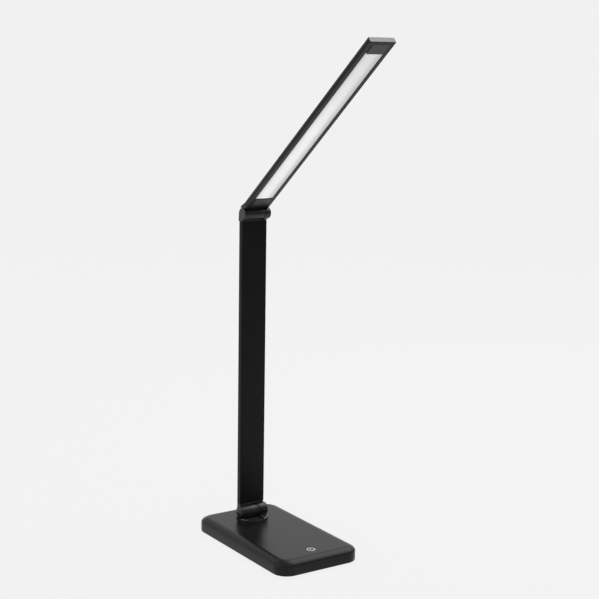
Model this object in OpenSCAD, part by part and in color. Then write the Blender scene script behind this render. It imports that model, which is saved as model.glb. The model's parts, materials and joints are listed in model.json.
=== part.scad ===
/* [Base] */
// Width of the base
base_w = 100; // [90:1:140]
// Length of the base, front to back
base_l = 176.5; // [165:0.5:230]
// Height of the base body without its feet
base_h = 15.2; // [15:0.1:22]
// Height of the upright wall below the rounded edge
edge_h = 10.2; // [9.8:0.1:11]
// How far the rounded edge runs in from the wall
edge_in = 7.5; // [5:0.1:9]
// Fullness of the rounded edge: 1 is a flat bevel, 2 a quarter round
edge_full = 1.4; // [1.2:0.1:2]
// Corner radius of the base
base_r = 18.2; // [14:0.1:26]
// Wall of the base cover
cover_wall = 2.2; // [1.8:0.1:2.6]
// Thickness of the bottom tray
tray_t = 2; // [1.6:0.1:2.4]
// Distance from the swivel axis to the back of the base
swivel_back = 38.5; // [38:0.5:60]
// Thickness of the non-slip pad under the tray
pad_t = 0.8; // [0.5:0.1:2]
// Distance from the wall of the base to the edge of the non-slip pad
pad_in = 5; // [4:0.5:7]

/* [Base contents] */
// Width of the steel ballast plate
ballast_w = 66; // [40:1:68]
// Length of the steel ballast plate
ballast_l = 84; // [50:1:90]
// Thickness of the steel ballast plate
ballast_t = 5; // [3:0.5:7]
// Width of the control board
board_w = 70; // [64:1:76]
// Length of the control board, front to back
board_l = 19; // [17:0.5:20]
// Bore of the power socket
socket_bore = 5.6; // [5:0.1:5.8]
// Distance from the front edge of the base to the touch symbol
symbol_in = 21; // [18:0.5:40]
// Outer diameter of the touch symbol
symbol_d = 9; // [7:0.5:12]

/* [Swivel] */
// Diameter of the turntable disc
disc_d = 35.4; // [34:0.1:38]
// Height of the turntable disc above the base
disc_h = 2.6; // [2:0.1:3]
// Diameter of the turntable hub
hub_d = 18; // [16:0.5:20]
// Bore through the hub for the wires
hub_bore = 6; // [4:0.5:8]
// How far the turntable turns to each side
swivel_range = 90; // [30:5:90]

/* [Arm] */
// Distance between the two hinge axes
arm_l = 332.5; // [300:0.5:360]
// Width of the arm
arm_w = 30.3; // [28:0.1:33]
// Thickness of the arm
arm_t = 6.6; // [6.2:0.1:7]
// Wall of the arm tube
arm_wall = 1.2; // [1:0.1:1.3]
// Distance from the hinge axes back to the front face of the arm
arm_back = 0.5; // [0.4:0.1:1]

/* [Lower hinge] */
// Height of the lower hinge axis above the base
low_h = 8.2; // [8:0.1:10]
// Radius of the lower hinge barrel
low_r = 7; // [6.8:0.1:7.4]
// Length of the lower hinge barrel
low_l = 32.6; // [31:0.1:34]
// Length of the barrel part that belongs to the turntable
lug_w = 10.6; // [9:0.1:12]
// Width of the friction collar between the two barrel parts
collar_w = 4; // [3:0.1:5]
// Diameter of the lower hinge pin
low_pin_d = 4; // [3.6:0.1:4.2]

/* [Upper hinge] */
// Radius of the upper hinge barrel
up_r = 6.1; // [5.8:0.1:6.4]
// Length of the upper hinge barrel
up_l = 32.7; // [31:0.1:34]
// Width of the plain left ear
left_ear = 2.9; // [2.5:0.1:4]
// Width of the right ear that holds the nut
right_ear = 7; // [6:0.1:9]
// Diameter of the upper hinge pin
up_pin_d = 3.6; // [3:0.1:3.8]

/* [Head] */
// Length of the head from the hinge axis to the tip
head_l = 283.3; // [240:0.1:300]
// Width of the head
head_w = 29.6; // [28:0.1:32]
// Thickness of the head
head_t = 5.4; // [5.2:0.1:5.5]
// Distance from the hinge axis back to the lit face
head_back = 2.3; // [2:0.1:2.4]
// Gap between the hinge axis and the lower end of the head
head_gap = 8; // [7.6:0.1:10]
// How far the head leans forward from the line of the arm
head_angle = 51.1; // [0:0.1:180]
// Width of the lit window
window_w = 21.1; // [18:0.1:22]
// Width of the frame across each end of the window
window_end = 4.6; // [3:0.1:8]
// Length of the grey plate at each end of the window
plate_l = 12.3; // [8:0.1:20]
// Distance from one light chip to the next
chip_step = 7.6; // [5:0.1:16]

/* [Hidden] */

$fn = 64;
eps = 0.01;
// Clearance of a pin or screw in a hole of its own body
snug = 0.02;
// Running clearance of a shaft in a hole
run = 0.05;
// Clearance between parts that are dropped into each other
fit = 0.1;
// Clearance round a part that turns inside a recess
sweep = 0.45;
// Gap between flat faces that turn on each other
face_gap = 0.05;

base_grey = [0.42, 0.42, 0.43];
arm_grey = [0.16, 0.16, 0.17];
hinge_grey = [0.3, 0.3, 0.31];
steel_grey = [0.68, 0.69, 0.7];
board_green = [0.1, 0.35, 0.2];

// Heights in the base
z_base = pad_t;
z_tray = z_base + tray_t;
z_edge = z_base + edge_h;
z_top = z_base + base_h;
z_ceiling = z_top - cover_wall;
y_back = swivel_back;
y_front = swivel_back - base_l;
z_low = z_top + low_h;
z_up = z_low + arm_l;

// Rounded edge: the inner faces lie one wall inside the outer ones
edge_slope = atan((base_h - edge_h) / edge_in);
edge_drop = cover_wall * (1 - sin(edge_slope)) / cos(edge_slope);
inner_in = edge_in - cover_wall * (1 - tan(edge_slope / 2));

// Tray screws
screw_in = 11;
screw_front = 33;
screw_back = 32;
screw_y = [y_front + screw_front, swivel_back - screw_back];
tray_screw_d = 2.6;
tray_head_d = 5.4;
tray_head_h = 1.3;
tray_screw_l = 8;
boss_r = 3.4;

// Ballast plate and the pegs that hold it, between the front screws and the hub
peg_d = 4;
peg_in = 10;
ballast_front = 30;
ballast_back = 15;
ballast_corner = 4;
ballast_y = (y_front + ballast_front - hub_d / 2 - ballast_back) / 2;

// Control board at the back of the base, on two posts, with a notch for the power socket
post_h = 1.2;
post_r = 2.6;
post_x = board_w / 2 - 4;
post_in = 4.5;
post_screw_l = 0.6;
post_screw_head_r = 1.9;
post_screw_head_h = 1;
control_t = 1.2;
z_control = z_tray + post_h;
z_parts = z_control + control_t;
board_gap = 0.6;
control_y1 = y_back - cover_wall - board_gap;
control_y0 = control_y1 - board_l;
socket_wall = 0.6;
socket_r = socket_bore / 2 + socket_wall;
socket_l = 11;
socket_block = 0.8;
socket_floor = 1.6;
notch_y = y_back - socket_l - fit;
notch_x = socket_r + socket_block + fit;

// Parts on the board: [x from the middle, y from the board's front edge, width, depth, height]
chip_box = [-12, 4, 7, 7, 1.2];
coil_box = [12, 4, 6, 6, 2.6];
wire_plug = [-26, 11, 8, 5, 3.2];
pad_plug = [24.5, 3, 5, 4, 2.2];
diode_box = [-14, 13, 5, 3, 1.6];
fuse_box = [3, 2, 4, 2, 1];
capacitor_x = [16, 23];
capacitor_y = 14;
capacitor_r = 2.3;
capacitor_h = 3.4;

// Touch symbol inlaid in the cover, and the copper disc under it
symbol_t = 0.3;
copper_t = 0.3;
copper_r = 7;
symbol_y = y_front + symbol_in;

// Turntable
disc_r = disc_d / 2;
hub_r = hub_d / 2;
pocket_drop = 0.9;
glide_t = 0.3;
z_pocket = z_top - pocket_drop;
z_disc = z_pocket + glide_t + face_gap;
z_disc_top = z_top + disc_h;
boss_drop = 3;
z_boss = z_ceiling - boss_drop;
washer_t = 0.8;
nut_t = 2.6;
nut_r = hub_r + 3.5;
z_nut = z_boss - 2 * washer_t - nut_t;
z_hub = z_nut - 0.4;
stop_r = disc_r - 4.4;
stop_pin_r = 1.1;
stop_depth = 2.1;
glide_in = stop_r + stop_pin_r + 0.6;

// Lower hinge, measured along the barrel from the middle
low_x0 = -low_l / 2;
low_x1 = low_l / 2;
lug_x = low_x1 - lug_w;
collar_x = lug_x - collar_w;
cap_t = 1.6;
cap_edge = 1.3;
cap_spigot = 0.5;
nut_pocket = 3.4;
low_pin_r = low_pin_d / 2;
low_head_r = low_pin_r + 2;
low_head_t = 1.6;
low_head_x = low_x0 + cap_t + 0.2;
arm_low_gap = 9.2;

// Foot of the lug: how far it reaches from the middle of the disc, and how high it climbs
foot_reach = disc_r - 0.7;
foot_rise = 3.4;
foot_steps = 17;

// Arm section
arm_y0 = arm_back;
arm_y1 = arm_back + arm_t;
arm_mid = arm_back + arm_t / 2;
arm_corner = 1.1;
arm_up_gap = 8.2;
arm_z0 = z_low + arm_low_gap;
arm_z1 = z_up - arm_up_gap;
tenon_l = 14;
passage_r = 1.3;
passage_x = -4;
wire_d = 1;
wire_side = 2.4;
wire_step = 0.55;
wire_sides = 8;
small_screw_r = 1;
small_head_r = 1.8;
small_head_h = 0.8;
arm_screw_x = 8;
arm_screw_in = 7;

// Upper hinge, measured along the barrel from the middle
up_x0 = -up_l / 2;
up_x1 = up_l / 2;
washer_gap = 0.3;
knuckle_x0 = up_x0 + left_ear + washer_gap;
knuckle_x1 = up_x1 - right_ear - washer_gap;
up_pin_r = up_pin_d / 2;
up_nut_r = up_pin_r + 1.8;
up_nut_t = 2;
nut_room = 0.6;

// Head section, measured in the head's own frame: z along the head, y to its back
head_corner = 0.8;
head_y0 = head_back;
head_y1 = head_back + head_t;
flange_t = 0.6;
groove_h = 2;
shell_t = 1.2;
skirt_t = 0.8;
shell_y = head_y0 + flange_t + groove_h;
skirt_x = head_w / 2 - shell_t - run;
panel_t = 1;
panel_y = head_y0 + flange_t;
chip_t = 0.5;
led_board_t = 0.8;
board_y = head_y1 - shell_t - led_board_t;
end_t = 1.4;
body_z0 = head_gap + end_t;
body_z1 = head_l - end_t;
window_z0 = head_gap + window_end;
window_z1 = head_l - window_end;
lit_z0 = window_z0 + plate_l;
lit_z1 = window_z1 - plate_l;
panel_x = skirt_x - skirt_t - fit;
tongue_y0 = panel_y + panel_t + run;
tongue_y1 = head_y1 - shell_t - run;
tongue_l = 14;
head_screw_x = 7;
head_screw_in = 8;

// A rounded rectangle that is 2 * x wide and runs from y0 to y1
module plate_outline(x, y0, y1, r) {
    translate([-x, y0 + r]) square([2 * x, y1 - y0 - 2 * r]);
    translate([r - x, y0]) square([2 * (x - r), y1 - y0]);
    for (px = [r - x, x - r], py = [y0 + r, y1 - r]) translate([px, py]) circle(r);
}

// Half section of the base: up the wall, then over the rounded edge to the flat top
function edge_points(reach, low, wall, high, run_in, steps = 14) = concat([[reach, low]],
    [for (i = [0:steps]) let (a = 90 * i / steps)
        [reach - run_in + run_in * pow(cos(a), 2 / edge_full),
            wall + (high - wall) * pow(sin(a), 2 / edge_full)]]);

// Body with rounded corners whose edge follows edge_points all round
module edged_body(x, y0, y1, r, low, wall, high, run_in) {
    mid = (y0 + y1) / 2;
    half = (y1 - y0) / 2;
    across = edge_points(x, low, wall, high, run_in);
    along = edge_points(half, low, wall, high, run_in);
    corner = edge_points(r, low, wall, high, run_in);
    translate([0, y1 - r, 0]) rotate([90, 0, 0]) linear_extrude(y1 - y0 - 2 * r)
        polygon(concat(across, [for (i = [len(across) - 1:-1:0]) [-across[i].x, across[i].y]]));
    translate([r - x, mid, 0]) rotate([90, 0, 90]) linear_extrude(2 * (x - r))
        polygon(concat(along, [for (i = [len(along) - 1:-1:0]) [-along[i].x, along[i].y]]));
    for (px = [r - x, x - r], py = [y0 + r, y1 - r]) translate([px, py, 0])
        rotate_extrude() polygon(concat([[0, low]], corner, [[0, high]]));
}

// Cylinder along X from x0 to x1
module bar(r, x0, x1) {
    translate([x0, 0, 0]) rotate([0, 90, 0]) cylinder(r = r, h = x1 - x0);
}

// Profile in the Y-Z plane, extruded along X from x0 to x1
module side_profile(x0, x1) {
    translate([x0, 0, 0]) rotate([90, 0, 90]) linear_extrude(x1 - x0) children();
}

// Round cap along X whose outer edge is rounded with radius e; it faces +X
module round_cap(r, t, e) {
    rotate([0, 90, 0]) rotate_extrude() intersection() {
        square([r, t]);
        union() {
            square([r - e, t]);
            square([r, t - e]);
            translate([r - e, t - e]) circle(e);
        }
    }
}

// Countersunk screw whose head lies flush at z = 0 and whose shank points down
module sunk_screw(r, length, head_r, head_h) {
    slot = head_r * 0.3;
    difference() {
        union() {
            translate([0, 0, -head_h]) cylinder(r1 = r, r2 = head_r, h = head_h);
            translate([0, 0, -length]) cylinder(r = r, h = length - head_h + eps);
        }
        for (turn = [0, 90]) rotate(turn) translate([-head_r * 0.6, -slot / 2, -head_h * 0.6])
            cube([head_r * 1.2, slot, head_h]);
    }
}

// Hole for a countersunk screw, opened by the clearance c
module sunk_hole(r, length, head_r, head_h, c) {
    translate([0, 0, -head_h]) cylinder(r1 = r + c, r2 = head_r + c, h = head_h + eps);
    translate([0, 0, -length]) cylinder(r = r + c, h = length);
}

module at_low() {
    translate([0, 0, z_low]) children();
}

module at_up() {
    translate([0, 0, z_up]) children();
}

module at_head() {
    translate([0, 0, z_up]) rotate([head_angle, 0, 0]) children();
}

module at_tray_screws() {
    for (x = [screw_in - base_w / 2, base_w / 2 - screw_in], y = screw_y) translate([x, y, 0]) children();
}

// Symbol of a ring with an upright tick, the plain power sign
module symbol_shape() {
    line = symbol_d * 0.11;
    difference() {
        circle(d = symbol_d);
        circle(d = symbol_d - 2 * line);
        translate([-line * 1.3, 0]) square([line * 2.6, symbol_d]);
    }
    translate([-line / 2, -symbol_d * 0.05]) square([line, symbol_d * 0.6]);
}

module base_cover() {
    x = base_w / 2;
    w = cover_wall;
    color(base_grey) difference() {
        union() {
            difference() {
                edged_body(x, y_front, y_back, base_r, z_base, z_edge, z_top, edge_in);
                edged_body(x - w, y_front + w, y_back - w, base_r - w, z_base - 1,
                    z_edge - edge_drop, z_ceiling, inner_in);
            }
            translate([0, 0, z_boss]) cylinder(r = disc_r + 1.6, h = z_top - z_boss - pocket_drop);
            at_tray_screws() translate([0, 0, z_tray]) cylinder(r = boss_r, h = z_ceiling - z_tray + eps);
        }
        translate([0, 0, z_pocket]) cylinder(r = disc_r + 0.3, h = pocket_drop + 1);
        translate([0, 0, z_boss - 1]) cylinder(r = hub_r + run, h = z_top);
        stop_groove();
        at_tray_screws() translate([0, 0, z_base])
            cylinder(r = tray_screw_d / 2 + snug, h = tray_screw_l + 0.5);
        translate([0, symbol_y, z_top - symbol_t]) linear_extrude(1) symbol_shape();
        socket_place() translate([0, 0, -1]) cylinder(r = socket_bore / 2 + socket_wall + fit, h = w + 2);
    }
}

// Arc under the disc in which the stop pin travels
module stop_groove() {
    half = swivel_range + 2;
    translate([0, 0, z_pocket - stop_depth - fit]) rotate(90 - half) {
        rotate_extrude(angle = 2 * half)
            translate([stop_r - stop_pin_r - 0.2, 0]) square([2 * stop_pin_r + 0.4, stop_depth + 1]);
        for (a = [0, 2 * half]) rotate(a) translate([stop_r, 0, 0])
            cylinder(r = stop_pin_r + 0.2, h = stop_depth + 1);
    }
}

module base_tray() {
    inset = cover_wall + fit;
    x = base_w / 2 - inset;
    color(base_grey * 0.6) difference() {
        union() {
            translate([0, 0, z_base]) linear_extrude(tray_t)
                plate_outline(x, y_front + inset, y_back - inset, base_r - inset);
            at_pegs() translate([0, 0, z_tray - eps]) cylinder(r = peg_d / 2, h = ballast_t + eps);
            at_board_posts() translate([0, 0, z_tray - eps]) cylinder(r = post_r, h = post_h + eps);
        }
        at_tray_screws() translate([0, 0, z_base]) mirror([0, 0, 1])
            sunk_hole(tray_screw_d / 2, tray_t + 1, tray_head_d / 2, tray_head_h, fit);
        at_board_posts() translate([0, 0, z_tray - post_screw_l - fit])
            cylinder(r = small_screw_r + snug, h = post_h + 2);
    }
}

module at_pegs() {
    for (y = [-1, 1]) translate([0, ballast_y + y * (ballast_l / 2 - peg_in), 0]) children();
}

module ballast_plate() {
    half = ballast_l / 2;
    color(steel_grey) translate([0, 0, z_tray]) difference() {
        linear_extrude(ballast_t)
            plate_outline(ballast_w / 2, ballast_y - half, ballast_y + half, ballast_corner);
        at_pegs() translate([0, 0, -1]) cylinder(r = peg_d / 2 + fit, h = ballast_t + 2);
    }
}

// Soft pad on the underside of the tray; it hides the tray screws
module non_slip_pad() {
    color([0.08, 0.08, 0.08]) linear_extrude(pad_t)
        plate_outline(base_w / 2 - pad_in, y_front + pad_in, y_back - pad_in, base_r - pad_in);
}

module tray_screws() {
    color(steel_grey) at_tray_screws() translate([0, 0, z_base]) mirror([0, 0, 1])
        sunk_screw(tray_screw_d / 2, tray_screw_l, tray_head_d / 2, tray_head_h);
}

module at_board_posts() {
    for (side = [-1, 1]) translate([side * post_x, control_y0 + post_in, 0]) children();
}

module control_board() {
    color(board_green) difference() {
        translate([-board_w / 2, control_y0, z_control]) cube([board_w, board_l, control_t]);
        translate([-notch_x, notch_y, z_control - 1]) cube([2 * notch_x, board_l, control_t + 2]);
        at_board_posts() translate([0, 0, z_control - 1])
            cylinder(r = small_screw_r + fit, h = control_t + 2);
    }
}

module board_parts() {
    color([0.15, 0.15, 0.16]) {
        for (b = [chip_box, coil_box, wire_plug, pad_plug, diode_box, fuse_box])
            translate([b[0] - b[2] / 2, control_y0 + b[1], z_parts]) cube([b[2], b[3], b[4]]);
        for (x = capacitor_x) translate([x, control_y0 + capacitor_y, z_parts])
            cylinder(r = capacitor_r, h = capacitor_h);
    }
}

module board_screws() {
    color(steel_grey) at_board_posts() {
        translate([0, 0, z_tray - post_screw_l])
            cylinder(r = small_screw_r, h = z_parts - z_tray + post_screw_l + eps);
        translate([0, 0, z_parts]) cylinder(r = post_screw_head_r, h = post_screw_head_h);
    }
}

// Place of the power socket: z points out of the back wall
module socket_place() {
    translate([0, y_back - cover_wall, z_tray + fit + socket_r]) rotate([-90, 0, 0]) children();
}

module power_socket() {
    color([0.06, 0.06, 0.06]) socket_place() difference() {
        union() {
            translate([0, 0, cover_wall - socket_l]) cylinder(r = socket_r, h = socket_l - 0.2);
            translate([-socket_r - socket_block, -socket_r * 0.6, cover_wall - socket_l])
                cube([2 * (socket_r + socket_block), socket_r * 1.2, socket_l - cover_wall - 1.6]);
        }
        translate([0, 0, cover_wall - socket_l + socket_floor]) cylinder(r = socket_bore / 2, h = socket_l);
    }
}

module socket_pin() {
    color("gold") socket_place() translate([0, 0, cover_wall - socket_l + socket_floor])
        cylinder(r = 1, h = socket_l - socket_floor - 1.8);
}

module touch_pad() {
    color([0.8, 0.5, 0.3]) translate([0, symbol_y, z_ceiling - copper_t])
        cylinder(r = copper_r, h = copper_t);
}

// Ring of points round a wire at point i of its route, mitred between the two runs that meet there
function wire_ring(route, d, i) =
    let (run_in = unit(route[max(i, 1)] - route[max(i, 1) - 1]),
        run_out = i > 0 && i < len(route) - 1 ? unit(route[i + 1] - route[i]) : run_in,
        side = unit(cross(run_in, abs(run_in.z) < 0.9 ? [0, 0, 1] : [1, 0, 0])),
        cut = run_in + run_out)
    i == 0 ? [for (k = [0:wire_sides - 1]) let (a = 360 * k / wire_sides)
            route[0] + d / 2 * (cos(a) * side + sin(a) * cross(run_in, side))] :
        [for (q = wire_ring(route, d, i - 1)) q + run_in * ((route[i] - q) * cut) / (run_in * cut)];

function unit(v) = v / norm(v);

// Wire of diameter d along the route
module wire_run(route, d) {
    n = wire_sides;
    last = len(route) - 1;
    polyhedron([for (i = [0:last]) each wire_ring(route, d, i)],
        concat([[for (k = [0:n - 1]) k], [for (k = [n - 1:-1:0]) last * n + k]],
            [for (i = [0:last - 1], k = [0:n - 1]) let (next = (k + 1) % n)
                [i * n + k, (i + 1) * n + k, (i + 1) * n + next, i * n + next]]));
}

// Wire from its plug on the board, along the right side of the base, to the copper disc
module touch_wire() {
    side = base_w / 2 - cover_wall - wire_side;
    turn = min(ballast_y - ballast_l / 2, screw_y[0] - boss_r) - 2 * wire_d;
    high = z_parts + wire_d / 2 + fit;
    low = z_tray + wire_d;
    under = z_ceiling - 3 * wire_d;
    color("white") wire_run([[pad_plug[0], control_y0 + pad_plug[1], high],
        [pad_plug[0], control_y0 - 2 * wire_d, high],
        [side, control_y0 - 5 * wire_d, low],
        [side, turn, low],
        [copper_r, turn, under],
        [copper_r / 2, symbol_y, under],
        [copper_r / 2, symbol_y, z_ceiling - copper_t]], wire_d);
}

module touch_symbol() {
    color("white") translate([0, symbol_y, z_top - symbol_t]) linear_extrude(symbol_t) symbol_shape();
}

// Wire from its plug on the board to the middle of the hub
module base_wire() {
    plug_x = wire_plug[0] + wire_plug[2] / 2;
    plug_y = control_y0 + wire_plug[1] + wire_plug[3] / 2;
    high = z_parts + wire_d / 2 + fit;
    low = z_tray + wire_d;
    color("white") wire_run([[plug_x, plug_y, high],
        [plug_x + 2.5 * wire_d, plug_y, high],
        [plug_x + 3.5 * wire_d, control_y0 - 2 * wire_d, high],
        [plug_x + 4.5 * wire_d, control_y0 - 5 * wire_d, low],
        [0, 0, low],
        [0, 0, z_disc]], wire_d);
}

module glide_ring() {
    color("ivory") translate([0, 0, z_pocket]) difference() {
        cylinder(r = disc_r, h = glide_t);
        translate([0, 0, -1]) cylinder(r = glide_in, h = glide_t + 2);
    }
}

module friction_washer() {
    color([0.75, 0.7, 0.55]) translate([0, 0, z_boss - washer_t]) difference() {
        cylinder(r = nut_r - 0.5, h = washer_t);
        translate([0, 0, -1]) cylinder(r = hub_r + 0.3, h = washer_t + 2);
    }
}

// Foot of the lug: it rises from the disc's rim to the barrel on a curve
function foot_point(y) = [y, z_disc_top + foot_rise * pow(1 - abs(y) / foot_reach, 1.8)];

module turntable() {
    front_cut = disc_r * 0.74;
    color(hinge_grey) difference() {
        union() {
            translate([0, 0, z_disc]) cylinder(r = disc_r, h = z_disc_top - z_disc);
            translate([0, 0, z_hub]) cylinder(r = hub_r, h = z_disc - z_hub + eps);
            rotate(90) translate([stop_r, 0, z_disc - stop_depth])
                cylinder(r = stop_pin_r, h = stop_depth + 1);
            at_low() bar(low_r, lug_x, low_x1 - cap_t);
            intersection() {
                side_profile(lug_x, low_x1 - cap_t) polygon(concat([[foot_reach, z_disc + 1]],
                    [for (i = [foot_steps:-1:-foot_steps]) foot_point(foot_reach * i / foot_steps)],
                    [[-foot_reach, z_disc + 1]]));
                translate([0, 0, z_disc]) cylinder(r = disc_r, h = low_h + low_r);
            }
        }
        at_low() bar(low_r + sweep, -disc_r - 1, lug_x);
        translate([-front_cut, -disc_r - 1, z_top + 1])
            cube([front_cut + lug_x, disc_r - low_r - 1.5 + 1, disc_h]);
        translate([0, 0, z_hub - 1]) cylinder(d = hub_bore, h = z_disc_top - z_hub);
        at_low() {
            bar(low_pin_r + snug, 0, low_x1);
            bar(low_head_r + fit, low_x1 - cap_t - nut_pocket, low_x1);
        }
    }
}

module spring_washer() {
    color(steel_grey) translate([0, 0, z_boss - 2 * washer_t]) difference() {
        cylinder(r = nut_r - 1, h = washer_t);
        translate([0, 0, -1]) cylinder(r = hub_r + snug, h = washer_t + 2);
    }
}

module swivel_nut() {
    color(steel_grey) translate([0, 0, z_nut]) difference() {
        cylinder(r = nut_r, h = nut_t);
        translate([0, 0, -1]) cylinder(r = hub_r + snug, h = nut_t + 2);
        for (a = [0, 90, 180, 270]) rotate(a) translate([nut_r - 1.6, -1.2, -1]) cube([3, 2.4, nut_t + 2]);
    }
}

module lower_hinge_pin() {
    color(steel_grey) at_low() {
        bar(low_pin_r, low_head_x, low_x1 - cap_t - nut_room);
        bar(low_head_r, low_head_x, low_head_x + low_head_t);
    }
}

module lower_pin_nut() {
    x = low_x1 - cap_t - nut_pocket;
    color(steel_grey) at_low() difference() {
        translate([x, 0, 0]) rotate([0, 90, 0])
            cylinder(r = low_head_r, h = nut_pocket - nut_room - fit, $fn = 6);
        bar(low_pin_r + snug, x - 1, low_x1);
    }
}

module lug_cap() {
    color(hinge_grey) difference() {
        at_low() {
            translate([low_x1 - cap_t, 0, 0]) round_cap(low_r, cap_t, cap_edge);
            difference() {
                bar(low_head_r, low_x1 - cap_t - cap_spigot, low_x1 - cap_t + eps);
                bar(low_pin_r + 0.6, low_x1 - cap_t - 2 * cap_spigot, low_x1 - cap_t);
            }
        }
        translate([0, 0, z_disc]) cylinder(r = disc_r, h = z_disc_top - z_disc);
    }
}

// Barrel part of the arm with its block and the tenon that fills the tube
module lower_fitting() {
    block = [[0, 0], [arm_y1, 0], [arm_y1, arm_low_gap], [arm_y0, arm_low_gap], [arm_y0, low_r - 1],
        [0, low_r - 1]];
    color(hinge_grey) at_low() difference() {
        union() {
            bar(low_r, low_x0 + cap_t, collar_x);
            intersection() {
                side_profile(-arm_w / 2, arm_w / 2) polygon(block);
                arm_bar(-1, arm_low_gap + 1, 0);
            }
            arm_bar(arm_low_gap - eps, arm_low_gap + tenon_l, arm_wall + fit);
        }
        bar(low_pin_r + run, low_x0, low_x1);
        bar(low_head_r + fit, low_x0, low_head_x + low_head_t + face_gap);
        bar(low_r + snug, low_x0 - 1, low_x0 + cap_t);
        bar(low_r + sweep, collar_x, low_x1 + 1);
        translate([passage_x, arm_mid, -low_r - 1])
            cylinder(r = passage_r, h = low_r + arm_low_gap + tenon_l + 2);
        at_arm_screws(arm_low_gap + arm_screw_in)
            sunk_hole(small_screw_r, arm_t, small_head_r, small_head_h, snug);
    }
}

// Bar of the arm's section between two heights, its faces moved in by the inset
module arm_bar(z0, z1, inset) {
    r = max(0.3, arm_corner - inset);
    translate([0, 0, z0]) linear_extrude(z1 - z0)
        plate_outline(arm_w / 2 - inset, arm_y0 + inset, arm_y1 - inset, r);
}

// Screw places on the back of the arm at height z: the screws point forward
module at_arm_screws(z) {
    for (x = [-arm_screw_x, arm_screw_x]) translate([x, arm_y1, z]) rotate([-90, 0, 0]) children();
}

module hinge_collar() {
    color(steel_grey * 0.7) at_low() difference() {
        bar(low_r - 0.15, collar_x, lug_x - face_gap);
        bar(low_pin_r + run, collar_x - 1, lug_x + 1);
    }
}

module barrel_cap() {
    color(hinge_grey) at_low() translate([low_x0 + cap_t, 0, 0]) mirror([1, 0, 0])
        round_cap(low_r, cap_t, cap_edge);
}

module arm_tube() {
    color(arm_grey) difference() {
        arm_bar(arm_z0, arm_z1, 0);
        arm_bar(arm_z0 - 1, arm_z1 + 1, arm_wall);
        for (z = [arm_z0 + arm_screw_in, arm_z1 - arm_screw_in]) at_arm_screws(z)
            sunk_hole(small_screw_r, arm_wall + 1, small_head_r, small_head_h, snug);
    }
}

module arm_wires() {
    color("white") for (side = [-1, 1]) translate([passage_x + side * wire_step, arm_mid, z_low - low_r / 2])
        cylinder(r = wire_d / 2, h = arm_l + low_r / 2 - up_r - sweep);
}

module arm_screws() {
    color(steel_grey) for (z = [arm_z0 + arm_screw_in, arm_z1 - arm_screw_in]) at_arm_screws(z)
        sunk_screw(small_screw_r, arm_t * 0.6, small_head_r, small_head_h);
}

// Fork at the top of the arm: a plain left ear and a wide right ear that hides the nut
module upper_fitting() {
    color(hinge_grey) at_up() difference() {
        union() {
            for (x = [[up_x0, up_x0 + left_ear], [up_x1 - right_ear, up_x1 - cap_t]]) {
                bar(up_r, x[0], x[1]);
                side_profile(max(x[0], -arm_w / 2), min(x[1], arm_w / 2))
                    polygon([[arm_y0, -arm_up_gap], [arm_y1, -arm_up_gap], [up_r, 0], [arm_y0, 0]]);
            }
            arm_bar(-arm_up_gap, -up_r + 1, 0);
            arm_bar(-arm_up_gap - tenon_l, -arm_up_gap + eps, arm_wall + fit);
        }
        bar(up_r + sweep, up_x0 + left_ear, up_x1 - right_ear);
        bar(up_pin_r + snug, up_x0 + 1, up_x1);
        bar(up_nut_r + fit, up_x1 - cap_t - up_nut_t - nut_room, up_x1);
        bar(up_r + snug, up_x1 - cap_t, up_x1 + 1);
        translate([passage_x, arm_mid, -arm_up_gap - tenon_l - 1])
            cylinder(r = passage_r, h = tenon_l + arm_up_gap);
        at_arm_screws(-arm_up_gap - arm_screw_in)
            sunk_hole(small_screw_r, arm_t, small_head_r, small_head_h, snug);
    }
}

module upper_hinge_pin() {
    color(steel_grey) at_up() bar(up_pin_r, up_x0 + 1.2, up_x1 - cap_t - 0.2);
}

module upper_pin_nut() {
    x = up_x1 - cap_t - up_nut_t - nut_room;
    color(steel_grey) at_up() difference() {
        translate([x, 0, 0]) rotate([0, 90, 0]) cylinder(r = up_nut_r, h = up_nut_t, $fn = 6);
        bar(up_pin_r + snug, x - 1, up_x1);
    }
}

module upper_cap() {
    color(hinge_grey) at_up() translate([up_x1 - cap_t, 0, 0]) round_cap(up_r, cap_t, cap_edge);
}

module upper_washers() {
    color([0.1, 0.1, 0.1]) at_up() for (x = [up_x0 + left_ear, knuckle_x1]) difference() {
        bar(up_r - 0.4, x + 0.02, x + washer_gap - 0.02);
        bar(up_pin_r + snug, x - 1, x + 1);
    }
}

// Section of the head between two heights in its own frame: back corners rounded
module head_bar(z0, z1, y0, y1, x, r) {
    translate([0, 0, z0]) linear_extrude(z1 - z0) {
        translate([-x, y0]) square([2 * x, y1 - y0 - r]);
        translate([r - x, y0]) square([2 * (x - r), y1 - y0]);
        for (px = [r - x, x - r]) translate([px, y1 - r]) circle(r);
    }
}

// Knuckle between the ears, its neck, the end plate of the head and the tongue inside it
module head_knuckle() {
    color(hinge_grey) at_head() difference() {
        union() {
            bar(up_r, knuckle_x0, knuckle_x1);
            side_profile(knuckle_x0, knuckle_x1)
                polygon([[head_y0, 0], [up_r, 0], [head_y1, head_gap + eps], [head_y0, head_gap + eps]]);
            head_bar(head_gap, body_z0, head_y0, head_y1, head_w / 2, head_corner);
            translate([-panel_x, tongue_y0, body_z0 - eps])
                cube([2 * panel_x, tongue_y1 - tongue_y0, tongue_l]);
        }
        bar(up_pin_r + run, knuckle_x0 - 1, knuckle_x1 + 1);
        translate([passage_x, (tongue_y0 + tongue_y1) / 2, up_r - 1.5])
            cylinder(r = wire_d / 2 + wire_step + fit, h = head_l / 2);
        at_head_screws(body_z0 + head_screw_in)
            sunk_hole(small_screw_r, head_t * 0.6, small_head_r, small_head_h, snug);
    }
}

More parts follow.
